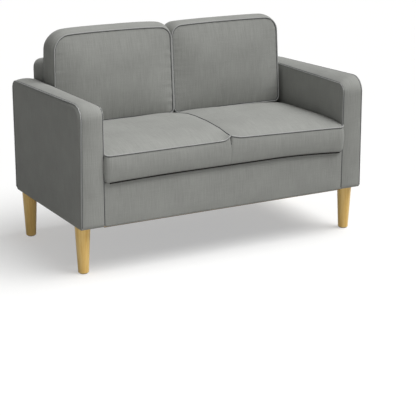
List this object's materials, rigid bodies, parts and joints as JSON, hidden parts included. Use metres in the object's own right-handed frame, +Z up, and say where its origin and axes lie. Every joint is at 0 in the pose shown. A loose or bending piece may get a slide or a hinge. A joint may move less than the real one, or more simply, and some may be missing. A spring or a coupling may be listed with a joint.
{
  "type": "storage loveseat",
  "caption": "Small fabric sofa with straight padded arms, loose back cushions and a seat that lifts on link hinges over a lined storage box, on tapered wooden legs.",
  "frame": {"origin": "on the floor under the middle of the sofa", "axes": "+Z up, the front faces -Y, +X to the right of someone facing the sofa"},
  "size_m": [1.22, 0.663, 0.838],
  "materials": {
    "grey_upholstery": "woven linen-look polyester",
    "black_lining": "non-woven polypropylene",
    "foam": "open-cell polyurethane",
    "plywood": "raw plywood",
    "pine": "sawn pine",
    "leg_wood": "clear satin lacquer on rubberwood",
    "webbing": "elastic webbing",
    "zinc_steel": "zinc plated",
    "black_steel": "black powder coat",
    "rubber": "moulded",
    "glide_plastic": "moulded"
  },
  "bodies": {
    "sofa_frame": {"front_rail": "plywood", "rear_rail": "plywood", "left_side_rail": "plywood", "right_side_rail": "plywood", "floor_cleats": "pine", "storage_floor": "plywood", "storage_lining": "black_lining", "front_cover": "grey_upholstery", "dust_cover": "black_lining", "lid_bumpers": "rubber", "left_arm_cover": "grey_upholstery", "right_arm_cover": "grey_upholstery", "left_arm_inner_board": "plywood", "right_arm_inner_board": "plywood", "left_arm_outer_board": "plywood", "right_arm_outer_board": "plywood", "left_arm_bottom_rail": "pine", "right_arm_bottom_rail": "pine", "left_arm_posts": "pine", "right_arm_posts": "pine", "left_arm_top_rail": "pine", "right_arm_top_rail": "pine", "back_cover": "grey_upholstery", "back_posts": "pine", "back_top_rail": "pine", "back_bottom_rail": "pine", "back_lower_rail": "pine", "back_webbing": "webbing", "front_left_leg": "leg_wood", "front_right_leg": "leg_wood", "rear_left_leg": "leg_wood", "rear_right_leg": "leg_wood", "leg_bolts": "zinc_steel", "leg_nuts": "zinc_steel", "leg_glides": "glide_plastic", "frame_bolts": "zinc_steel", "frame_nuts": "zinc_steel", "left_hinge_base_plate": "black_steel", "right_hinge_base_plate": "black_steel", "base_rivets": "zinc_steel", "hinge_screws": "zinc_steel"},
    "lift_links": {"left_lift_link": "black_steel", "right_lift_link": "black_steel"},
    "control_links": {"left_control_link": "black_steel", "right_control_link": "black_steel"},
    "seat_lid": {"seat_board": "plywood", "lid_lining": "black_lining", "left_seat_foam": "foam", "right_seat_foam": "foam", "left_seat_cover": "grey_upholstery", "right_seat_cover": "grey_upholstery", "left_lid_bracket": "black_steel", "right_lid_bracket": "black_steel", "lid_rivets": "zinc_steel", "bracket_screws": "zinc_steel"},
    "left_back_cushion": {"left_cushion_cover": "grey_upholstery", "left_cushion_core": "foam"},
    "right_back_cushion": {"right_cushion_cover": "grey_upholstery", "right_cushion_core": "foam"}
  },
  "joints": [
    {"name": "lift_link_hinge", "type": "hinge", "parent": "sofa_frame", "child": "lift_links", "pos_m": [0, 0.0858, 0.3419], "axis": [1, 0, 0], "range_deg": [0, 80.3]},
    {"name": "lid_hinge", "type": "hinge", "parent": "lift_links", "child": "seat_lid", "pos_m": [0, 0.1347, 0.3384], "axis": [-1, 0, 0], "range_deg": [0, 146.5]},
    {"name": "control_link_hinge", "type": "hinge", "parent": "sofa_frame", "child": "control_links", "pos_m": [0, -0.04, 0.2596], "axis": [1, 0, 0], "range_deg": [0, 33.3]},
    {"name": "left_cushion_lift", "type": "slide", "parent": "sofa_frame", "child": "left_back_cushion", "axis": [0, 0, 1], "range_m": [0, 0.26]},
    {"name": "right_cushion_lift", "type": "slide", "parent": "sofa_frame", "child": "right_back_cushion", "axis": [0, 0, 1], "range_m": [0, 0.26]}
  ],
  "couplings": [
    {"joint": "lift_link_hinge", "follows": "lid_hinge", "ratio": 0.54812},
    {"joint": "control_link_hinge", "follows": "lid_hinge", "ratio": 0.2273},
    {"joint": "left_cushion_lift", "follows": "lid_hinge", "m_per_rad": 0.10168},
    {"joint": "right_cushion_lift", "follows": "lid_hinge", "m_per_rad": 0.10168}
  ]
}
